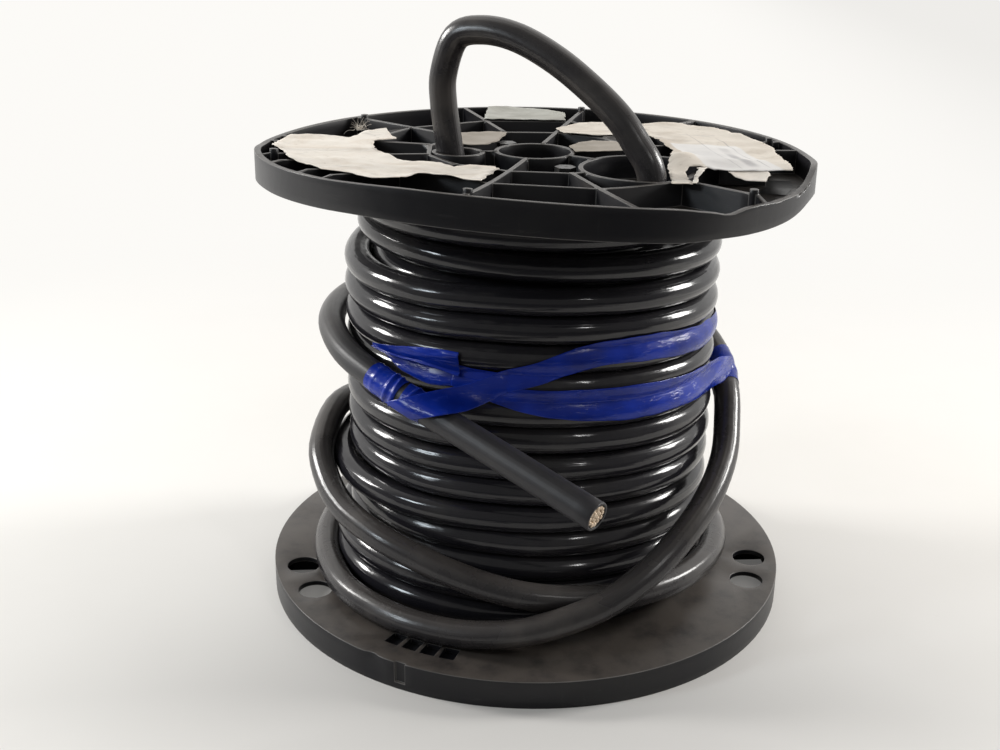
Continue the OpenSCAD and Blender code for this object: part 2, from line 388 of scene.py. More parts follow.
def moulded_plastic(name, dust, worn=False):
    """Matt black polypropylene with dust on its upper faces, handling marks and a fine grain."""
    mat, tree = material(name)
    where = place(tree)
    broad = where.grain(18, 3, 0.6)
    fine = where.grain(900, 3, 0.6)
    uneven = where.grain(120, 4, 0.6)
    scuff = place(tree, (60, 60, 420)).grain(1, 5, 0.7, 1.2).ramp(0.6, 0.78)
    streak = place(tree, (260, 26, 40)).grain(1, 5, 0.65).ramp(0.62, 0.8)
    lies = up_facing(tree) * where.grain(55, 5, 0.65).ramp(0.1, 0.62)
    # With worn, the base is the pale edge colour: rubbed wear, and a painted highlight along the
    # edges
    colour = broad.ramp(0.35, 0.7).blend(*(RUBBED_GREY_AND_HIGHLIGHT if worn else BLACK_PLASTIC))
    colour = (scuff * 0.35).blend(colour, PLASTIC_SCUFF)
    colour = (streak * 0.25).blend(colour, PLASTIC_STREAK)
    colour = (lies * dust).blend(colour, PLASTIC_DUST)
    rough = broad.span(0.27, 0.44) + scuff * 0.15
    return dress(mat, colour, rough, (fine, 0.12, 0.1), (uneven, 0.1, 0.4), (scuff, 0.1, 0.2),
                 specular=0.36)


def map_parts(tree):
    """The map of a piece: how far along, how far round, and nothing."""
    return output(tree, "UVMap", uv_map="UVMap").parts()


def round_coords(tree, along, round_):
    """Coordinates that run along a tube and close on themselves round it."""
    run, turn, _ = map_parts(tree)
    turn = turn * (2 * pi)
    across = turn.maths("COSINE", turn) * round_
    over = turn.maths("SINE", turn) * round_
    return output(tree, "CombineXYZ", {0: run * along, 1: across, 2: over})


def cable_jacket(name, gloss, dust, clean=None):
    """Glossy black jacket with long soft ridges from the strands, ripples, scuffs and dust.

    clean gives two distances along a cord in metres: between them the dust gives way."""
    mat, tree = material(name)
    ridge = round_coords(tree, 3, 1.7).grain(1, 2)
    ripple = round_coords(tree, 85, 1.2).grain(1, 2)
    nick = round_coords(tree, 8, 16).grain(1, 3)
    scratch = round_coords(tree, 9, 22).grain(1, 4, 0.7).ramp(0.6, 0.75)
    patch = place(tree).grain(26, 5, 0.62)
    dirty = patch.ramp(0.42, 0.72)
    film = (dirty + 0.5 + up_facing(tree)) * dust
    rough = patch.span(gloss - 0.07, gloss + 0.11) + scratch * 0.08
    if clean:
        wiped = map_parts(tree)[0].ramp(*clean)
        film = film * wiped.span(1, 0.08)
        rough = rough + wiped * 0.2
    colour = film.blend(dirty.blend(*BLACK_JACKET), JACKET_DUST)
    colour = (scratch * 0.18).blend(colour, JACKET_SCRATCH)
    return dress(mat, colour, rough, (ridge, 0.55, 1), (ripple, 0.34, 0.6), (nick, 0.12, 0.12))


def blue_film(name):
    """Stretched blue film tape: deep colour, paler where it is creased, with fine pull lines."""
    mat, tree = material(name)
    where = place(tree)
    crease = place(tree, (130, 130, 460)).grain(1, 4, 0.6, 0.8).ramp(0.52, 0.7)
    pull = where.grain(160, 3)
    broad = where.grain(40, 3)
    colour = broad.ramp(0.3, 0.7).blend(*FILM_BLUE)
    colour = (crease * 0.16).blend(colour, FILM_CREASE)
    return dress(mat, colour, broad.span(0.15, 0.3), (crease, 0.28, 0.45), (pull, 0.14, 0.3),
                 specular=0.3)


def faint_rules(where):
    """The ghost of a form on old paper, with nothing to read: where it is stuck on, and its marks.

    The marks are two plain rules and two soft rubbed smears. Each is a box of bounds in
    millimetres across and along the paper, with how soft its edges are."""
    x, y, _ = where.parts()
    askew, straight = 156, 988
    across = x * straight + y * askew
    along = y * (1 / MM)

    def box(low, high, soft, start, end, fade):
        return across.within(low, high, soft) * along.within(start, end, fade)
    outer = box(112.2, 112.9, 0.3, -48, 62, 2)
    inner = box(98, 98.6, 0.3, -48, 62, 2)
    bar = box(103.5, 108.5, 1.6, -44, 14, 8)
    smear = box(84, 101, 4, -44, 12, 8)
    form = box(80, 117, 0.8, -70, 26, 1.5)
    marks = (outer.larger(inner) * 0.45).larger(bar * 0.5).larger(smear * 0.16)
    return form, marks * where.grain(26, 2, 0.4).ramp(0.3, 0.62)


def stained_paper(name, light, dark, ruled=False):
    """Old label paper: fibres, stains, rubbed grey patches and small folds."""
    mat, tree = material(name)
    where = place(tree)
    stain = where.grain(34, 5, 0.62, 0.6).ramp(0.42, 0.7)
    spots = where.grain(210, 4, 0.65).ramp(0.6, 0.72)
    rub = place(tree, (42, 95, 60)).grain(1, 6, 0.72, 0.5).ramp(0.55, 0.68)
    colour = (spots * 0.35).blend(stain.blend(light, dark), PAPER_SPOT)
    colour = (rub * 0.34).blend(colour, PAPER_RUB)
    if ruled:
        form, marks = faint_rules(where)
        colour = (form * 0.8).blend(colour, FORM_WHITE)
        colour = marks.blend(colour, FORM_MARK)
    fibre = where.grain(1400, 3, 0.6)
    fold = where.grain(90, 3)
    return dress(mat, colour, stain.span(0.62, 0.85), (fibre, 0.1, 0.06), (fold, 0.25, 0.6),
                 specular=0.3)


def cut_copper(name):
    """Sawn copper strand ends: bright smears over a dull brown."""
    mat, tree = material(name)
    smear = place(tree, (300, 300, 900)).grain(1, 4, 0.6)
    rough = place(tree).grain(1500, 3).span(0.34, 0.55)
    return dress(mat, smear.blend(*CUT_COPPER), rough, (smear, 0.3, 0.12), metallic=0.55)


def dull_steel(name):
    """Zinc-plated fastener, dulled and spotted."""
    mat, tree = material(name)
    where = place(tree)
    spot = where.grain(420, 4, 0.6).ramp(0.5, 0.72)
    colour = spot.blend(*DULL_STEEL)
    fine = where.grain(800, 3)
    return dress(mat, colour, spot.span(0.36, 0.6), (fine, 0.15, 0.1), metallic=1)


DEEP_PLASTIC = moulded_plastic("reel_plastic_deep", 0.0)
UPPER_PLASTIC = moulded_plastic("reel_plastic_upper", 0.42)
LOWER_PLASTIC = moulded_plastic("reel_plastic_lower", 0.62)
# The material of the rounded edges: rubbed wear, and paler still as a painted highlight along every
# sharp edge
WORN_AND_HIGHLIT_EDGES = moulded_plastic("reel_plastic_edges", 0.25, worn=True)
JACKET = cable_jacket("jacket_wound", 0.13, 0.025)
JACKET_LOOSE = cable_jacket("jacket_handled", 0.26, 0.24, clean=(1.6, 1.7))
FILM = blue_film("blue_tape_film")
PAPER = stained_paper("label_paper_old", (0.78, 0.73, 0.66), (0.68, 0.61, 0.53))
WHITE_PAPER = stained_paper("label_paper_pale", (0.7, 0.645, 0.57), (0.55, 0.49, 0.42), ruled=True)
BROWN_PAPER = stained_paper("label_paper_brown", (0.33, 0.295, 0.25), (0.27, 0.24, 0.2))
GREY_TAPE = stained_paper("label_tape_grey", (0.43, 0.43, 0.39), (0.33, 0.325, 0.29))
COPPER = cut_copper("copper_cut")
STEEL = dull_steel("steel_dull")


# The camera, as the photograph was taken, in metres and degrees

CAMERA_AT = (0.0, -0.7226, 0.4008)
CAMERA_PITCH = 20.867
CAMERA_ROLL = 0.9196
CAMERA_YAW = -1.3654
LENS = 47.3
SENSOR = 36.0


def make_camera():
    """The place, turn and lens that were fitted to both rims."""
    pitch, roll = radians(CAMERA_PITCH), radians(CAMERA_ROLL)
    ahead = polar(90 - CAMERA_YAW, cos(pitch), -sin(pitch))
    level = ahead.cross(UP).normalized()
    above = level.cross(ahead)
    right = level * cos(roll) + above * sin(roll)
    up = above * cos(roll) - level * sin(roll)
    data = bpy.data.cameras.new("camera")
    data.sensor_fit = "HORIZONTAL"
    data.sensor_width = SENSOR
    data.lens = LENS
    camera = bpy.data.objects.new("camera", data)
    camera.matrix_world = Matrix((right, up, -ahead)).transposed().to_4x4()
    camera.location = CAMERA_AT
    scene.collection.objects.link(camera)
    scene.camera = camera


# The cords: the loose outer turns with the free end, and the loop above the reel

# Points of the loose cable: angle, gap to the winding, height over the lower flange
LOOSE = [
    (-230, 0, 71), (-216, 0.3, 75.5), (-203, 1.5, 79), (-188, 5, 80), (-170, 9, 70.5),
    (-158, 9, 60), (-147, 8, 53), (-136, 7, 49.5), (-125, 6, 46), (-108, 4.5, 38), (-91, 3.5, 30),
    (-75, 1.5, 25), (-60, 0.8, 22), (-45, 0.5, 19.5), (-30, 0.5, 18), (-15, 0.5, 16.5),
    (0, 0.5, 15), (15, 0.5, 14), (30, 0.5, 13.5), (45, 0.5, 13), (60, 0.5, 12.6), (75, 0.5, 12.3),
    (90, 0.8, 12), (107, 1.3, 11.7), (123, 1.8, 11.4), (140, 2.7, 11), (155, 4, 10.5),
    (170, 5.5, 9.8), (183, 7, 9), (195, 8.2, 8.3), (205, 9.5, 7.8), (216, 11.7, 7.5),
    (227, 12.5, 7.5), (240, 13, 7.5), (253, 13, 8.2), (264, 14, 11.5), (274, 15.5, 17),
    (288, 16.5, 28), (300, 16, 42), (312, 13, 56), (325, 9, 68), (339, 5.5, 80), (350, 3, 94),
    (358, 2, 105.5), (370, 1.5, 116.5), (384, 1, 125), (398, 0.8, 130.5), (412, 0.5, 134.5),
    (427, 0.5, 137.5), (442, 0.5, 140), (457, 0.5, 142), (472, 0.5, 143.7), (487, 0.5, 145),
    (502, 0.5, 146), (517, 0.5, 147), (530, 0.5, 147.5), (542, 0.6, 147.5), (554, 1, 146.5),
    (568, 2, 144.3), (578, 3, 142), (588, 4, 139), (595, 5.5, 136)]
TIP = polar(640.6, 180, 123.5)

# Points of the loop: x, y, share of its height over the upper flange
LOOP = [
    (58, -63, -0.232), (59.5, -63.7, -0.15), (60, -64, -0.03), (57.5, -62.8, 0.11),
    (51.8, -59.6, 0.24), (43, -55, 0.42), (30, -47.7, 0.6), (10.7, -37.5, 0.81), (-10, -26.3, 0.96),
    (-28.6, -16.3, 1), (-43, -9, 0.93), (-50, -6, 0.64), (-50, -6, 0.4), (-47, -7, 0.08),
    (-44, -7.5, -0.2), (-43, -7.5, -0.6)]
LOOP_H = 67.0

# The loose cable's steps between points, the point where its turn is taped, and how tape lies on it
LOOSE_STEPS = 4
TAPED_TURN = 358
WRAP_GAP = 0.32

# The cut end: its length, a strand's radius, and rings of (strands, radius, first angle)
CUT_LEN = 9.0
STRAND_R = 1.17
STRAND_RINGS = ((6, 2.35, 0.2), (12, 4.65, 0.05))


def jacket_form(seed):
    """The jacket's radius: the strands' lay shows faintly and it is never quite round."""
    def radius(run, turn):
        lay = 0.045 * cos(6 * turn + run / 26 + seed)
        oval = 0.07 * cos(2 * turn + run / 90 + seed * 2)
        return CABLE_R + lay + oval
    return radius


def loose_path():
    """The loose turns, then the straight run out to the tip."""
    bends = [polar(a, WIND_R + CABLE_R + gap, Z_LOW + h) for a, gap, h in LOOSE]
    straight = TIP - bends[-1]
    outs = [bends[-1] + straight * (k / 6) for k in range(1, 7)]
    return through(bends + outs, LOOSE_STEPS)


def cut_back(path, length):
    """The path with a length taken off its end, and the part taken off."""
    runs = runs_of(path)
    i, cut = reach(path, runs, runs[-1] - length)
    return path[:i + 1] + [cut], [cut] + path[i + 1:]


def make_strands(start, out):
    """The conductor's nineteen strands, sawn off a little unevenly just inside the jacket."""
    chance = random.Random(7)
    side = out.cross(UP).normalized()
    over = out.cross(side)
    centres = [(0, 0)]
    for count, radius, shift in STRAND_RINGS:
        centres += [(radius, shift + turn) for turn in turns_of(count)]
    around = 14
    verts, faces = [], []
    for radius, turn in centres:
        middle = start + spoke(side, over, radius, turn)
        top = CUT_LEN - 0.25 + chance.uniform(-0.35, 0.15)
        tilt = Vector((chance.uniform(-0.06, 0.06), chance.uniform(-0.06, 0.06)))
        profile = ((0, STRAND_R), (top - 0.22, STRAND_R), (top, 0.98), (top + 0.06, 0.45))
        first = len(verts)
        for height, r in profile:
            for a in turns_of(around):
                lean = r * (tilt.x * cos(a) + tilt.y * sin(a)) if height else 0
                verts.append(middle + spoke(side, over, r, a) + out * (height + lean))
        faces += rings(len(profile), around, first)
        faces.append(range(len(verts) - around, len(verts)))
    strands = build("cut_strands", verts, faces, COPPER)
    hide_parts("conductor")
    return strands


def make_cut_end(start, out, run, side):
    """The last of the jacket as a sleeve with a sawn, slightly rough rim."""
    over = out.cross(side)
    around = 48
    profile = [(0, CABLE_R), (CUT_LEN - 0.5, CABLE_R), (CUT_LEN - 0.12, 7.32), (CUT_LEN, 7.05),
               (CUT_LEN - 0.02, 6.35), (CUT_LEN - 0.2, 6.12), (CUT_LEN - 4, 6.08)]
    verts = []
    for row, (height, r) in enumerate(profile):
        for a in turns_of(around):
            rough = 0.16 * wobble(cos(a) * 4, sin(a) * 4, row) if row > 1 else 0
            verts.append(start + spoke(side, over, r, a) + out * (height + rough))
    uvs = ring_uvs([run + height for height, r in profile], around)
    sleeve = build("cut_sleeve", verts, rings(len(profile), around), JACKET_LOOSE, uvs)
    sleeve.data.set_sharp_from_angle(angle=radians(50))
    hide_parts("cut_jacket")
    return sleeve


def make_wrap(name, path, low, high, lean, folds, seed):
    """Tape wound round a cord between two distances from its tip, askew and drawn into folds.

    A fold is (distance from the tip, width, height, how far it runs askew)."""
    runs = runs_of(path)
    rows, around = 32, 60
    points = []
    for at in even(low, high, rows):
        row = []
        for turn in even(0, 2 * pi, around):
            j, middle = reach(path, runs, runs[-1] + at + lean * cos(turn - 0.9))
            along = (path[min(j + 2, len(path) - 1)] - path[max(j - 1, 0)]).normalized()
            over = (UP - along * along.z).normalized()
            r = CABLE_R + WRAP_GAP
            for centre, width, height, slant in folds:
                r += height * bell(at, centre + slant * sin(turn + seed), width)
            r += 0.22 * abs(wobble(cos(turn) * 1.6, sin(turn) * 1.6, at * 0.16 + seed))
            row.append(middle + spoke(over, along.cross(over), r, turn))
        points.append(row)
    wrap = grid(name, points, FILM)
    return wrap


def make_loose():
    """The loose turns and the free end, with its cut and the tape wound round them."""
    path = loose_path()
    body, tail = cut_back(path, CUT_LEN)
    out = (tail[-1] - tail[0]).normalized()
    form = jacket_form(1)
    total = length_of(body)

    def radius(run, turn):
        """The jacket's form, which comes true and round at the cut."""
        return CABLE_R + (form(run, turn) - CABLE_R) * smooth(total - run, 0, 30)
    cord = tube("loose_cable", body, radius, 32, JACKET_LOOSE)
    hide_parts("cable_loose")
    side = frames_of(body, UP)[-1][1]
    riders = [make_cut_end(tail[0], out, total, side), make_strands(tail[0], out)]
    first = make_wrap("tape_wrap_inner", path, -149.5, -127, 1,
                      [(-144.5, 1.4, 0.3, 1), (-135.5, 1.1, 0.7, 2), (-131.5, 0.9, 0.8, 3)], 0.4)
    second = make_wrap("tape_wrap_outer", path, -126, -110, 3,
                       [(-122, 1.2, 0.5, 2.5), (-115, 2, 0.35, 2)], 2.1)
    taped = LOOSE_STEPS * [point[0] for point in LOOSE].index(TAPED_TURN)
    on_turn = -length_of(path[taped:])
    third = make_wrap("tape_wrap_turn", path, on_turn + 1, on_turn + 27, 3,
                      [(on_turn + 7, 1.5, 0.4, 3), (on_turn + 18, 2.2, 0.3, 2)], 1.2)
    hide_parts("tape_wrap")
    tuple(body[0] * MM)
    [tuple(p * MM) for p in body]


def make_loop():
    """The inner end, which comes out of the start hole and goes back into the barrel."""
    path = through([Vector((x, y, HEIGHT + share * LOOP_H)) for x, y, share in LOOP], 6)
    cord = tube("loop_cable", path, jacket_form(2.2), 36, JACKET_LOOSE, side=Vector((1, 0, 0)))
    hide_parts("cable_loop")
    tuple(path[0] * MM)
    length_of(path) * MM
    [tuple(p * MM) for p in path]


# The winding

# How far the turns lie low, by angle, and the turn that stands out the most
SETTLE = [
    (-202, -4.6), (-156, -5.7), (-133, -4.5), (-122, -3.9), (-113, -2.8), (-104, -1.7), (-95, -1.2),
    (-70, -1.1), (-60, -1.7), (-48, -2.2), (-35, -2.8), (-27, -3), (60, -3.6), (158, -4.6)]
SLACKEST = 4.235


def turn_angle(t):
    """The angle at which the helix has climbed t turns; it climbs clockwise, seen from above."""
    return PHASE_A - 360 * (t - PHASE)


def settle(angle):
    """How far the turns lie under an even helix at an angle, where they were drawn tight."""
    start = SETTLE[0][0]
    return table((angle - start) % 360 + start, SETTLE)


def turn_height(t):
    """The height of the turns after t turns: an even climb, settled and never quite true."""
    level = min(max(t, 0), TURNS - 1)
    settled = settle(turn_angle(t)) * smooth(t, 0.3, 4.5) * (1 - smooth(t, 12.5, 13.2))
    untrue = 0.35 * sin(t * 2.9) * smooth(t, 0, 1) * (1 - smooth(t, 13, 14))
    return max(FIRST_Z + PITCH * level + settled + untrue, FIRST_Z)


def helix(radius_of, first, last, steps):
    """A path from one count of turns to another, with some steps in each turn."""
    turns = even(first, last, int((last - first) * steps))
    return [polar(turn_angle(t), radius_of(t), turn_height(t)) for t in turns]


def outer_radius(t):
    """The outer layer: its last turns drop into the layer below, and slack ones stand out."""
    r = LAYER_R[2] - 7.3 * smooth(t, 12.72, 13.1)
    r += 11 * bell(t, SLACKEST, 0.15 if t < SLACKEST else 0.085)
    r += 9 * bell(t, 1.18, 0.13) + 9.5 * bell(t, 0.16, 0.11)
    return r + 0.16 * sin(t * 4.7) + 0.12 * sin(t * 11.3 + 1)


def make_winding():
    """All three layers of turns, one piece of jacketed cable per layer."""
    def plain(run, turn):
        return CABLE_R
    outer = tube("winding_outer", helix(outer_radius, -0.35, 14.4, 84), jacket_form(0.3), 22,
                 JACKET, side=Vector((1, 0, 0)))
    middle = tube("winding_middle", helix(lambda t: LAYER_R[1], -0.4, 12.3, 48), plain, 12, JACKET)
    inner = tube("winding_inner", helix(lambda t: LAYER_R[0], -0.4, 14.4, 48), plain, 12, JACKET)
    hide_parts("cable_winding")


def make_run_off():
    """The last of the outer layer, where it lifts off the turns and becomes the loose cable."""
    start, after = LOOSE[0], LOOSE[1]
    slope = (after[2] - start[2]) / (after[0] - start[0])
    steps, arc, turn, sunk = 36, 54, 4, 0.8
    path = []
    for share in even(0, 1, steps):
        angle = start[0] - arc * (1 - share)
        rise = smooth(share, 0, 1)
        wound = turn_height(PHASE + (PHASE_A - angle) / 360 + turn)
        free = Z_LOW + start[2] + slope * (angle - start[0])
        r = LAYER_R[2] - sunk + (2 * CABLE_R + sunk) * rise
        path.append(polar(angle, r, wound + (free - wound) * rise))
    piece = tube("winding_run_off", path, jacket_form(1), 32, JACKET_LOOSE)


# The flanges

# By angle: how far the upper flange is bent up at its rim, and how much of the rim's top is lost
WARP = [
    (-180, 1.8), (-168, 5), (-157, 7.1), (-148, 7.9), (-139, 8.8), (-131, 9.6), (-123, 10.4),
    (-113, 10.3), (-100, 9.3), (-88, 7.6), (-75, 5), (-63, 2.2), (-55, 1.7), (-48, 1), (-40, 1),
    (-33, 1.8), (-28, 3.3), (-23, 4.9), (-17, 5), (-9, 2.4), (2, 0.3), (14, 0), (140, 0),
    (165, 0.3), (180, 1.8)]
BROKEN = [
    (-172, 0), (-157, -1), (-139, -1.2), (-125, -1.2), (-110, 0), (-68, 0), (-63, -0.5), (-59, -2),
    (-55.8, -3.4), (-52.6, -5), (-50.5, -4), (-48.5, -3), (-44.6, -2.8), (-40, -3.5), (-34, -4.2),
    (-29, -5.2), (-24, -5.4), (-19.5, -3.8), (-15, -1.2), (-11, 0), (0, 0)]
HUB_LIFT = 1.0
RIM_LOSS = 6.0
CHIP_ANGLE = -121.5

# The moulding's edges: the radius they are rounded to, and the longest that isn't split
EDGE_ROUND = 0.35
LONG_EDGE = 5.0

# The plates in the slots: their heights, and the radii of points across them
PLATE_HIGH = 244.6
PLATE_LOW = 12.9
PLATE_R = (126.5, 131, 136, 140.8)


def warp(x, y):
    """How far the upper flange has bent up or down at a place."""
    share = min(1, hypot(x, y) / FLANGE_R) ** 2
    return table(degrees(atan2(y, x)), WARP) * share + HUB_LIFT * (1 - share)


def split_long(bm, limit):
    """Put points on long edges, so that they can bend."""
    for edge in [e for e in bm.edges if e.calc_length() > limit]:
        count = int(edge.calc_length() / limit)
        start = edge.verts[0]
        for k in range(count, 0, -1):
            edge, point = bmesh.utils.edge_split(edge, start, 1 / (k + 1))
            edge = [e for e in point.link_edges if start not in e.verts][0]
            start = point


def dress_flange(name, node, plastic, move):
    """The moulding with its edges rounded and painted paler, partly as rubbed wear and partly as a
    painted highlight, each point moved out of true.
    """
    bm = bmesh.new()
    bm.from_mesh(nodes[node].data)
    bmesh.ops.remove_doubles(bm, verts=bm.verts, dist=1e-6)
    bmesh.ops.dissolve_limit(bm, angle_limit=radians(0.8), verts=bm.verts, edges=bm.edges)
    inside = [e for e in bm.edges if len(e.link_faces) == 2]
    sharp = [e for e in inside if e.calc_face_angle(0) > radians(38)]
    bmesh.ops.bevel(bm, geom=sharp, offset=EDGE_ROUND * MM, segments=2, profile=0.5, affect="EDGES",
                    clamp_overlap=False, material=1)
    split_long(bm, LONG_EDGE * MM)
    bmesh.ops.triangulate(bm, faces=[f for f in bm.faces if len(f.verts) > 4])
    for point in bm.verts:
        point.co += move(point.co / MM) * MM
    mesh = bpy.data.meshes.new(name)
    bm.to_mesh(mesh)
    bm.free()
    for face in mesh.polygons:
        face.use_smooth = True
    mesh.set_sharp_from_angle(angle=radians(40))
    piece = show(name, mesh, plastic, WORN_AND_HIGHLIT_EDGES)
    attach(piece, "root")
    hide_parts(node)


def upper_move(point):
    """The bent flange: what stands over its rim is worn, and the rim is broken at the right."""
    x, y, z = point
    lift = warp(x, y) - 0.45 * max(0, z - HEIGHT - 0.3)
    foot = HEIGHT - RIM_LOSS
    if hypot(x, y) > RIM_IN and z > foot:
        loss = table(degrees(atan2(y, x)), BROKEN)
        ragged = 0.45 * wobble(x * 0.3, y * 0.3, 3) * smooth(-loss, 1.5, 3.5)
        lift += (loss + ragged) * smooth(z, foot, HEIGHT - 0.5)
    return Vector((0, 0, lift))


def lower_move(point):
    """The flat side stays on the floor, and a chip is knocked out of the rim at the front."""
    x, y, z = point
    r = hypot(x, y)
    angle = degrees(atan2(y, x))
    chip = smooth(r, 146, 152) * bell(angle, CHIP_ANGLE, 1.3) * smooth(z, 1, 5)
    push = -1.6 * chip * (1 + 0.5 * wobble(x * 0.5, y * 0.5, z * 0.4))
    return Vector((x / r * push, y / r * push, max(0, -z)))


def coat(node, mat):
    """The material of a solid that is shown as it is."""
    nodes[node].data.materials.clear()
    nodes[node].data.materials.append(mat)


def make_flanges():
    """Both mouldings, the plates in their slots, and the barrel, bolts and nuts between them."""
    dress_flange("flange_upper", "top_flange", UPPER_PLASTIC, upper_move)
    dress_flange("flange_lower", "bottom_flange", LOWER_PLASTIC, lower_move)
    slot_plate("slot_plate_upper", -23, -2, lambda x, y: PLATE_HIGH + warp(x, y))
    slot_plate("slot_plate_lower", -124, -103, lambda x, y: PLATE_LOW)
    coat("barrel", LOWER_PLASTIC)
    for name in ("tie_bolt_1", "tie_bolt_2", "tie_nut_1", "tie_nut_2"):
        coat(name, STEEL)


def slot_plate(name, low, high, height):
    """A thin plate that closes the slots of a flange between two angles; they show no light."""
    points = []
    for angle in even(low, high, 14):
        row = [polar(angle, r, 0) for r in PLATE_R]
        points.append([Vector((q.x, q.y, height(q.x, q.y))) for q in row])
    piece = grid(name, points, DEEP_PLASTIC)


# The tape

# The radius of film on the turns, and the angle where the lower band leaves them
FILM_R = WIND_R + 0.4
BAND_LEAVES = -25.5

# Routes of the bands: angle, height over the lower flange, half width
UNDER_ROUTE = [
    (-139, 149.3, 2), (-134, 148.5, 3.5), (-127, 146.8, 5.5), (-119, 145.8, 7), (-108, 146, 5.4),
    (-98, 143, 6)]
FLAP_ROUTE = [
    (-141, 151, 0.8), (-135, 152, 2.2), (-129, 152.8, 3.2), (-121.7, 153.9, 4.3),
    (-115, 153.6, 5.6), (-109.5, 152.8, 6.4)]
UPPER_ROUTE = [
    (-120.4, 131, 2.2), (-116.4, 135, 2.4), (-112.4, 137.9, 2.6), (-107.2, 139.2, 4.1),
    (-101.6, 141.8, 5.2), (-96, 146, 5.6), (-87, 151, 6.2), (-71, 159.5, 6.2), (-54, 159.3, 6.9),
    (-34, 155, 6.8), (-17, 151.7, 6.5), (0, 148, 6.5), (25, 143, 6.5)]
LOWER_ROUTE = [
    (-112, 143.5, 3), (-106, 141.2, 4.4), (-99, 138.5, 5.8), (-87, 134.8, 7), (-62, 131.2, 9.5),
    (-43, 129.3, 9), (-24, 125.5, 9.6), (-16, 123.8, 9), (-9, 122, 8.2), (-3.5, 120.2, 6.6),
    (0.5, 118.6, 5)]

# By angle: how far the upper band's end stands off the turns, and how far it leans back
STAND_OFF = [(-121, 23.2), (-116.4, 24.4), (-112.4, 21.8), (-107.2, 12.5), (-101.6, 4.3), (-96, 0)]
LEAN_OFF = [(-121, 1), (-116.4, 2), (-112.4, 3.8), (-107.2, 2.5), (-101.6, 0.5), (-96, 0)]


def over_turns(angle, z, depth):
    """The radius of film drawn over the turns: it hugs the crests and bridges the grooves."""
    t = (z - FIRST_Z - settle(angle)) / PITCH - PHASE + (angle - PHASE_A) / 360
    off = (t - round(t)) * PITCH
    dip = CABLE_R - sqrt(max(CABLE_R ** 2 - off ** 2, 0))
    return FILM_R - depth * (1 - exp(-dip / depth))


def strip(name, route, lift, depth, crinkle, seed, rise=None, rows=110, skew=None):
    """A band of tape along a route.

    rise says how far it stands off the turns, and skew by how many degrees its edges run askew."""
    line = through([Vector(point) for point in route], 12)
    points = []
    for at in even(0, len(line) - 1, rows):
        k = min(int(at), len(line) - 2)
        angle, height, half = line[k].lerp(line[k + 1], at - k)
        ahead = line[k + 1] - line[k]
        slope = ahead.y / (radians(ahead.x) * WIND_R) if ahead.x else 0
        lean = cos(atan(slope))
        row = []
        for across in even(-1, 1, 22):
            z = Z_LOW + height + across * half / lean
            turned = angle + (skew(angle) * across if skew else 0)
            far = radians(turned) * WIND_R
            ragged = 0.6 * wobble(far * 0.08, across * 0.8, seed)
            pull = wobble(far * 0.03, z * 0.17 - far * 0.03, seed + 5)
            fine = wobble(far * 0.07, z * 0.5 + far * 0.05, seed + 9)
            r = over_turns(turned, z, depth)
            if rise:
                off = rise(angle, across)
                r += off + (FILM_R - r) * smooth(off, 0.5, 6)
            r += lift + crinkle * (max(0, pull) * 1.4 + 0.3 * fine)
            row.append(polar(turned, r, z + ragged * across ** 4))
        points.append(row)
    piece = grid(name, points, FILM, thick=0.12)
    return piece


def make_tape():
    """The four bands on the turns; the wraps round the cable are made with it."""
    def off_turn(angle, across):
        """At the right the lower band runs straight on to the loose turn outside."""
        return WIND_R * (1 / cos(radians(max(0, angle - BAND_LEAVES))) - 1)

    def to_wrap(angle, across):
        """At the left the upper band leaves the turns, leans back and ends on the free end."""
        return table(angle, STAND_OFF) - table(angle, LEAN_OFF) * across

    def askew(angle):
        """The upper band's end is cut along the free end."""
        return -4 * (1 - smooth(angle, -113, -95))

    def lip(angle, across):
        """The flap's lower edge has curled outward."""
        return 1.3 * smooth(-across, 0.7, 1)
    strip("tape_under_film", UNDER_ROUTE, 0, 3, 0.5, 11)
    flap = strip("tape_flap_film", FLAP_ROUTE, 1.4, 2.2, 1.1, 1, lip)
    upper = strip("tape_upper_film", UPPER_ROUTE, 0.3, 3.4, 0.35, 3, to_wrap, rows=170, skew=askew)
    lower = strip("tape_lower_film", LOWER_ROUTE, 0.2, 3.4, 0.35, 7, off_turn, rows=130)
    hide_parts("tape_flap")
    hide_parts("tape_upper")
    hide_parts("tape_lower")


# The torn labels on the upper flange

# Outlines: x, y
LEFT = [
    (-142, -19), (-143, 3), (-139, 30), (-120, 31), (-106, 25), (-101, 40), (-89, 57), (-79, 21),
    (-91, 15), (-88, -9), (-76, -38), (-68, -48), (-49, -49), (-41, -61), (-33, -52), (-20, -54),
    (-18, -62), (-25, -101), (-45, -97), (-57, -90), (-64, -110), (-77, -116), (-88, -101),
    (-103, -93), (-124, -67), (-134, -32)]
RIGHT = [
    (64, 87), (91, 94.5), (94, 90), (109, 82.5), (115, 75), (121.5, 56), (130.5, 40.5), (134.5, 23),
    (133.5, 1), (133, -32), (131.5, -57), (116, -56), (100, -52), (92, -54), (86, -48), (80, -49),
    (77.5, -56), (77.2, -68), (79.5, -72), (79, -78.5), (72, -80), (68.5, -78), (69, -64),
    (69, -47), (73, -20), (77, 5), (72, 30), (66, 55)]
UNDER = [(99.5, -51), (101.5, -62), (107, -70), (115, -72.5), (120, -60), (118.5, -53)]
BACK = [(-32, 96), (-31, 147), (-20, 149), (-12, 143), (10, 135), (19, 124), (18, 96)]
MIDDLE = [
    (12, 66), (18.5, 76), (27, 88), (46, 88), (58, 84), (57, 58), (45, 48), (37, 47), (28, 46.5),
    (17, 52)]
WEDGE = [(19.6, 12), (25, 22), (33, 29), (46, 27), (50, 18), (50, 2), (36, -2), (22.5, -4.4)]
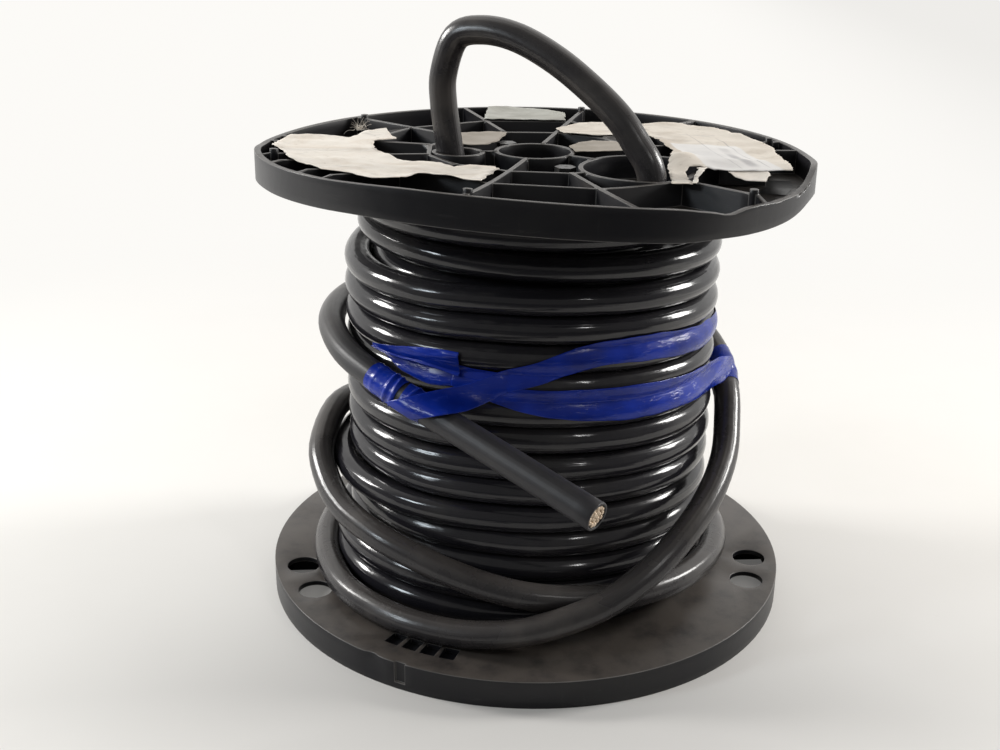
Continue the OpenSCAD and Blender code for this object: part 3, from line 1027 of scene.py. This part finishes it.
CURL = [
    (84.5, -48), (88.5, -50), (86, -61), (82, -71), (80.5, -79), (78, -78), (79.5, -70), (83, -60)]
INNER = [
    (-46, 30), (-45, 46), (-28, 50), (-16, 50), (-18, 38), (-21, 22), (-26, 12), (-36, 8),
    (-43, 14)]

# What carries the paper: the angles of the ribs and the radii of the rings
LONG_RIBS = [18 + 30 * k for k in range(12)]
SHORT_RIBS = [8, 175, 208, 220]
RING_R = (60.5, 100, 150)

# How high paper lies, how far it sags, its thickness, and how far the scrap lies under its label
PAPER_GAP = 0.75
PAPER_SAG = 0.8
PAPER_THICK = 0.25
UNDER_DROP = 0.5


def support_gap(x, y):
    """How far a place is from the nearest rib or ring that can carry paper."""
    r = hypot(x, y)
    angle = degrees(atan2(y, x))
    ribs = LONG_RIBS + (SHORT_RIBS if r > RING_R[1] else [])
    rib = min(abs((angle - a + 180) % 360 - 180) for a in ribs)
    return min(radians(rib) * r, *[abs(r - ring) for ring in RING_R])


def torn(outline, step, seed):
    """The outline with many points on it, each pushed a little, as torn paper is."""
    out = []
    for (x0, y0), (x1, y1) in zip(outline, outline[1:] + outline[:1]):
        count = max(1, int(hypot(x1 - x0, y1 - y0) / step))
        for k in range(count):
            x, y = x0 + (x1 - x0) * k / count, y0 + (y1 - y0) * k / count
            push = [wobble(x * 0.22, y * 0.22, seed + shift) for shift in (0, 4)]
            out.append(Vector((x, y)) + Vector(push) * 1.3)
    return out


def edge_gap(here, outline):
    """How far a place is from an outline."""
    best = inf
    for a, b in zip(outline, outline[1:] + outline[:1]):
        share = geometry.intersect_point_line(here, a, b)[1]
        best = min(best, (here - a.lerp(b, min(1, max(0, share)))).length)
    return best


def paper(name, node, outline, mat, seed, curl, step=3.2, hump=None):
    """A torn sheet that lies on the ribs, sinks between them and lifts at its edges."""
    rim = torn(outline, 2.2, seed)
    xs, ys = [p.x for p in rim], [p.y for p in rim]
    points = list(rim)
    for i in range(int((max(xs) - min(xs)) / step) + 1):
        for j in range(int((max(ys) - min(ys)) / step) + 1):
            points.append(Vector((min(xs) + step * (i + 0.5 * (j % 2)), min(ys) + step * j)))
    count = len(rim)
    ring = [(i, (i + 1) % count) for i in range(count)]
    flat, _, faces = geometry.delaunay_2d_cdt(points, ring, [list(range(count))], 1, 1e-4)[:3]
    verts = []
    for p in flat:
        near = edge_gap(p, rim)
        sink = PAPER_SAG * (1 - bell(support_gap(p.x, p.y), 0, 7)) * smooth(near, 0, 9)
        wave = wobble(p.x * 0.06, p.y * 0.06, seed)
        crease = wobble(p.x * 0.2, p.y * 0.2, seed + 8)
        lift = curl * max(0, wave) * (1 - smooth(near, 0, 10)) + 0.22 * crease
        top = HEIGHT + warp(p.x, p.y) + PAPER_GAP - sink + lift
        verts.append((p.x, p.y, top + (hump(p.x, p.y) if hump else 0)))
    piece = build(name, verts, faces, mat)
    thicken(piece, PAPER_THICK, -1)
    if node:
        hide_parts(node)


def make_labels():
    """The five labels, a scrap by the hub, one under the right label, and that label's curl."""
    def curled(x, y):
        """The right label's torn corner by the loop has come loose and bulges."""
        bulge = exp(-((x - 80) ** 2 / 90 + (y + 30) ** 2 / 500))
        return 4 * bulge - 0.8 * smooth(-y, 50, 75)

    def rolled(x, y):
        """The narrow torn edge stands up beside the hole."""
        return 2.5 * bell(y, -60, 12)
    paper("label_left_paper", "label_left", LEFT, PAPER, 1, 2)
    paper("label_right_paper", "label_right", RIGHT, WHITE_PAPER, 5, 1.6, hump=curled)
    paper("label_back_paper", "label_back", BACK, GREY_TAPE, 9, 0.8)
    paper("label_mid_paper", "label_mid", MIDDLE, WHITE_PAPER, 13, 1.4)
    paper("label_inner_paper", "label_inner", INNER, BROWN_PAPER, 17, 0.6)
    paper("label_wedge_paper", None, WEDGE, BROWN_PAPER, 21, 0.4)
    paper("label_under_paper", None, UNDER, PAPER, 25, 0.3, hump=lambda x, y: -UNDER_DROP)
    paper("label_curl_paper", None, CURL, PAPER, 29, 0.3, step=1.6, hump=rolled)


def make_lint():
    """A tuft of white fibres caught on the paper beside a peg."""
    draw = random.Random(3).uniform
    verts, faces = [], []
    fibres, joints = 34, 6
    for k in range(fibres):
        here = Vector((-103 + draw(-4, 4), 50 + draw(-3, 3), HEIGHT + 1.2))
        way = Vector((draw(-1, 1), draw(-0.6, 0.6), draw(0.15, 1))).normalized()
        bend = Vector((draw(-1, 1), draw(-1, 1), draw(-0.8, 0.2))) * 0.25
        step = draw(0.7, 1.5)
        first = len(verts)
        for i in range(joints + 1):
            side = way.cross(Vector((0, 0.9, -0.4))).normalized() * (0.13 - 0.012 * i)
            verts += [here - side, here + side]
            here = here + way * step
            way = (way + bend).normalized()
        for low in range(first, first + 2 * joints, 2):
            faces.append((low, low + 1, low + 3, low + 2))
    piece = build("lint_tuft", verts, faces, WHITE_PAPER)


# The floor and the light

FLOOR_HALF = 14.0
FLOOR_GLOW = (0.975, 0.96, 0.93, 1)
ROOM_LIGHT = (1.0, 0.98, 0.95, 1)
WALL_WHITE = (0.985, 0.975, 0.955, 1)
LAMP_FAR = 1.6
LAMP_AIM = 0.14


def make_floor():
    """A pale floor, far enough out that its edge is never seen, that fades into a glowing pale
    backdrop; it carries a painted shadow and painted shade in front of the reel, and painted light
    from its glow.
    """
    mat, tree = material("floor_pale")
    where = place(tree)
    x, y, _ = where.parts()
    nearer = y * -1
    seen = output(tree, "LightPath", which="Is Camera Ray")
    speck = where.grain(90, 5, 0.7).ramp(0.66, 0.78)
    # Painted shadow: the floor just in front of the reel, in the middle, is painted darker where
    # the reel shades it
    middle = 1 - x.maths("ABSOLUTE", x).ramp(0.08, 0.3)
    painted_shadow = nearer.ramp(0.03, 0.17) * middle
    # Painted shade: farther in front of the reel the floor is painted nearly black for every ray
    # but the camera's, so the reel's reflections and the light bounced from the front are dim
    front = nearer.ramp(0.27, 0.42) * (1 - seen)
    colour = where.grain(6, 4, 0.6).blend(*FLOOR_PALE)
    colour = (speck * 0.25).blend(colour, FLOOR_SPECK)
    colour = (painted_shadow * 0.5).blend(colour, FLOOR_PAINTED_SHADOW)
    colour = front.blend(colour, FLOOR_FRONT_SHADE)
    dress(mat, colour, 0.7, specular=0.2)
    # Painted light: the floor glows. For camera rays a tenth of it glows everywhere, which lifts
    # its shadows, also those seen through the flange's holes; further out it glows fully as the
    # pale backdrop, and behind the reel it glows for every ray, so it also lights the reel
    far = where.node("VectorMath", {0: where}, "Value", operation="LENGTH")
    lit = seen.larger(y.ramp(-0.1, 0.25))
    fade = (far.ramp(0.22, 0.85) * lit).larger(seen * 0.1)
    # Painted shade on the backdrop: toward the back right corner the glow is a little weaker
    corner = x.ramp(0.45, 1.2) * y.ramp(-0.2, 0.3)
    inputs = {"Color": FLOOR_GLOW, "Strength": corner.span(1, 0.88)}
    glow = output(tree, "Emission", inputs)
    matt = Output(tree, tree.nodes["Principled BSDF"].outputs[0])
    either = output(tree, "MixShader", {0: fade, 1: matt, 2: glow})
    feed(tree, tree.nodes["Material Output"], {"Surface": either})
    mesh = bpy.data.meshes.new("floor")
    corners = [(FLOOR_HALF * x, FLOOR_HALF * y, 0) for x, y in ((-1, -1), (1, -1), (1, 1), (-1, 1))]
    mesh.from_pydata(corners, [], [(0, 1, 2, 3)])
    floor = show("floor", mesh, mat)


def lamp(name, azimuth, elevation, width, radiance, colour):
    """A soft square lamp, placed by its angles from the camera's axis and as wide as it looks."""
    size = 2 * LAMP_FAR * tan(radians(width) / 2)
    data = bpy.data.lights.new(name, "AREA")
    data.size = size
    data.energy = radiance * pi * size * size
    data.color = colour
    light = bpy.data.objects.new(name, data)
    el = radians(elevation)
    way = polar(azimuth - 90, cos(el), sin(el))
    light.location = UP * LAMP_AIM + way * LAMP_FAR
    light.rotation_euler = way.to_track_quat("Z", "Y").to_euler()
    light.visible_camera = False
    scene.collection.objects.link(light)


def make_light():
    """Four soft lamps, and a room that is bright behind the reel and dim in front of it."""
    lamp("lamp_left", -103, 24, 12, 46, (1, 0.985, 0.96))
    lamp("lamp_left_front", -67, 26, 10, 20, (0.84, 0.93, 1))
    lamp("lamp_right_front", 37, 37, 3.5, 40, (1, 0.99, 0.98))
    lamp("lamp_right", 105, 24, 14, 35, (1, 0.985, 0.96))
    world = bpy.data.worlds.new("studio")
    world.use_nodes = True
    scene.world = world
    tree = world.node_tree
    behind = output(tree, "TexCoord", which="Generated").parts()[1].ramp(-0.15, 0.75)
    inputs = {"Color": ROOM_LIGHT, "Strength": behind.span(0.22, 1.25)}
    room = output(tree, "Background", inputs)
    white = output(tree, "Background", {"Color": WALL_WHITE, "Strength": 1})
    rays = ("Is Camera Ray", "Is Transmission Ray", "Is Glossy Ray")
    seen, sent, mirrored = [output(tree, "LightPath", which=ray) for ray in rays]
    share = seen.larger(sent).larger(mirrored * behind)
    either = output(tree, "MixShader", {0: share, 1: room, 2: white})
    feed(tree, tree.nodes["World Output"], {"Surface": either})


make_camera()
make_loose()
make_loop()
make_winding()
make_run_off()
make_flanges()
make_tape()
make_labels()
make_lint()
make_floor()
make_light()
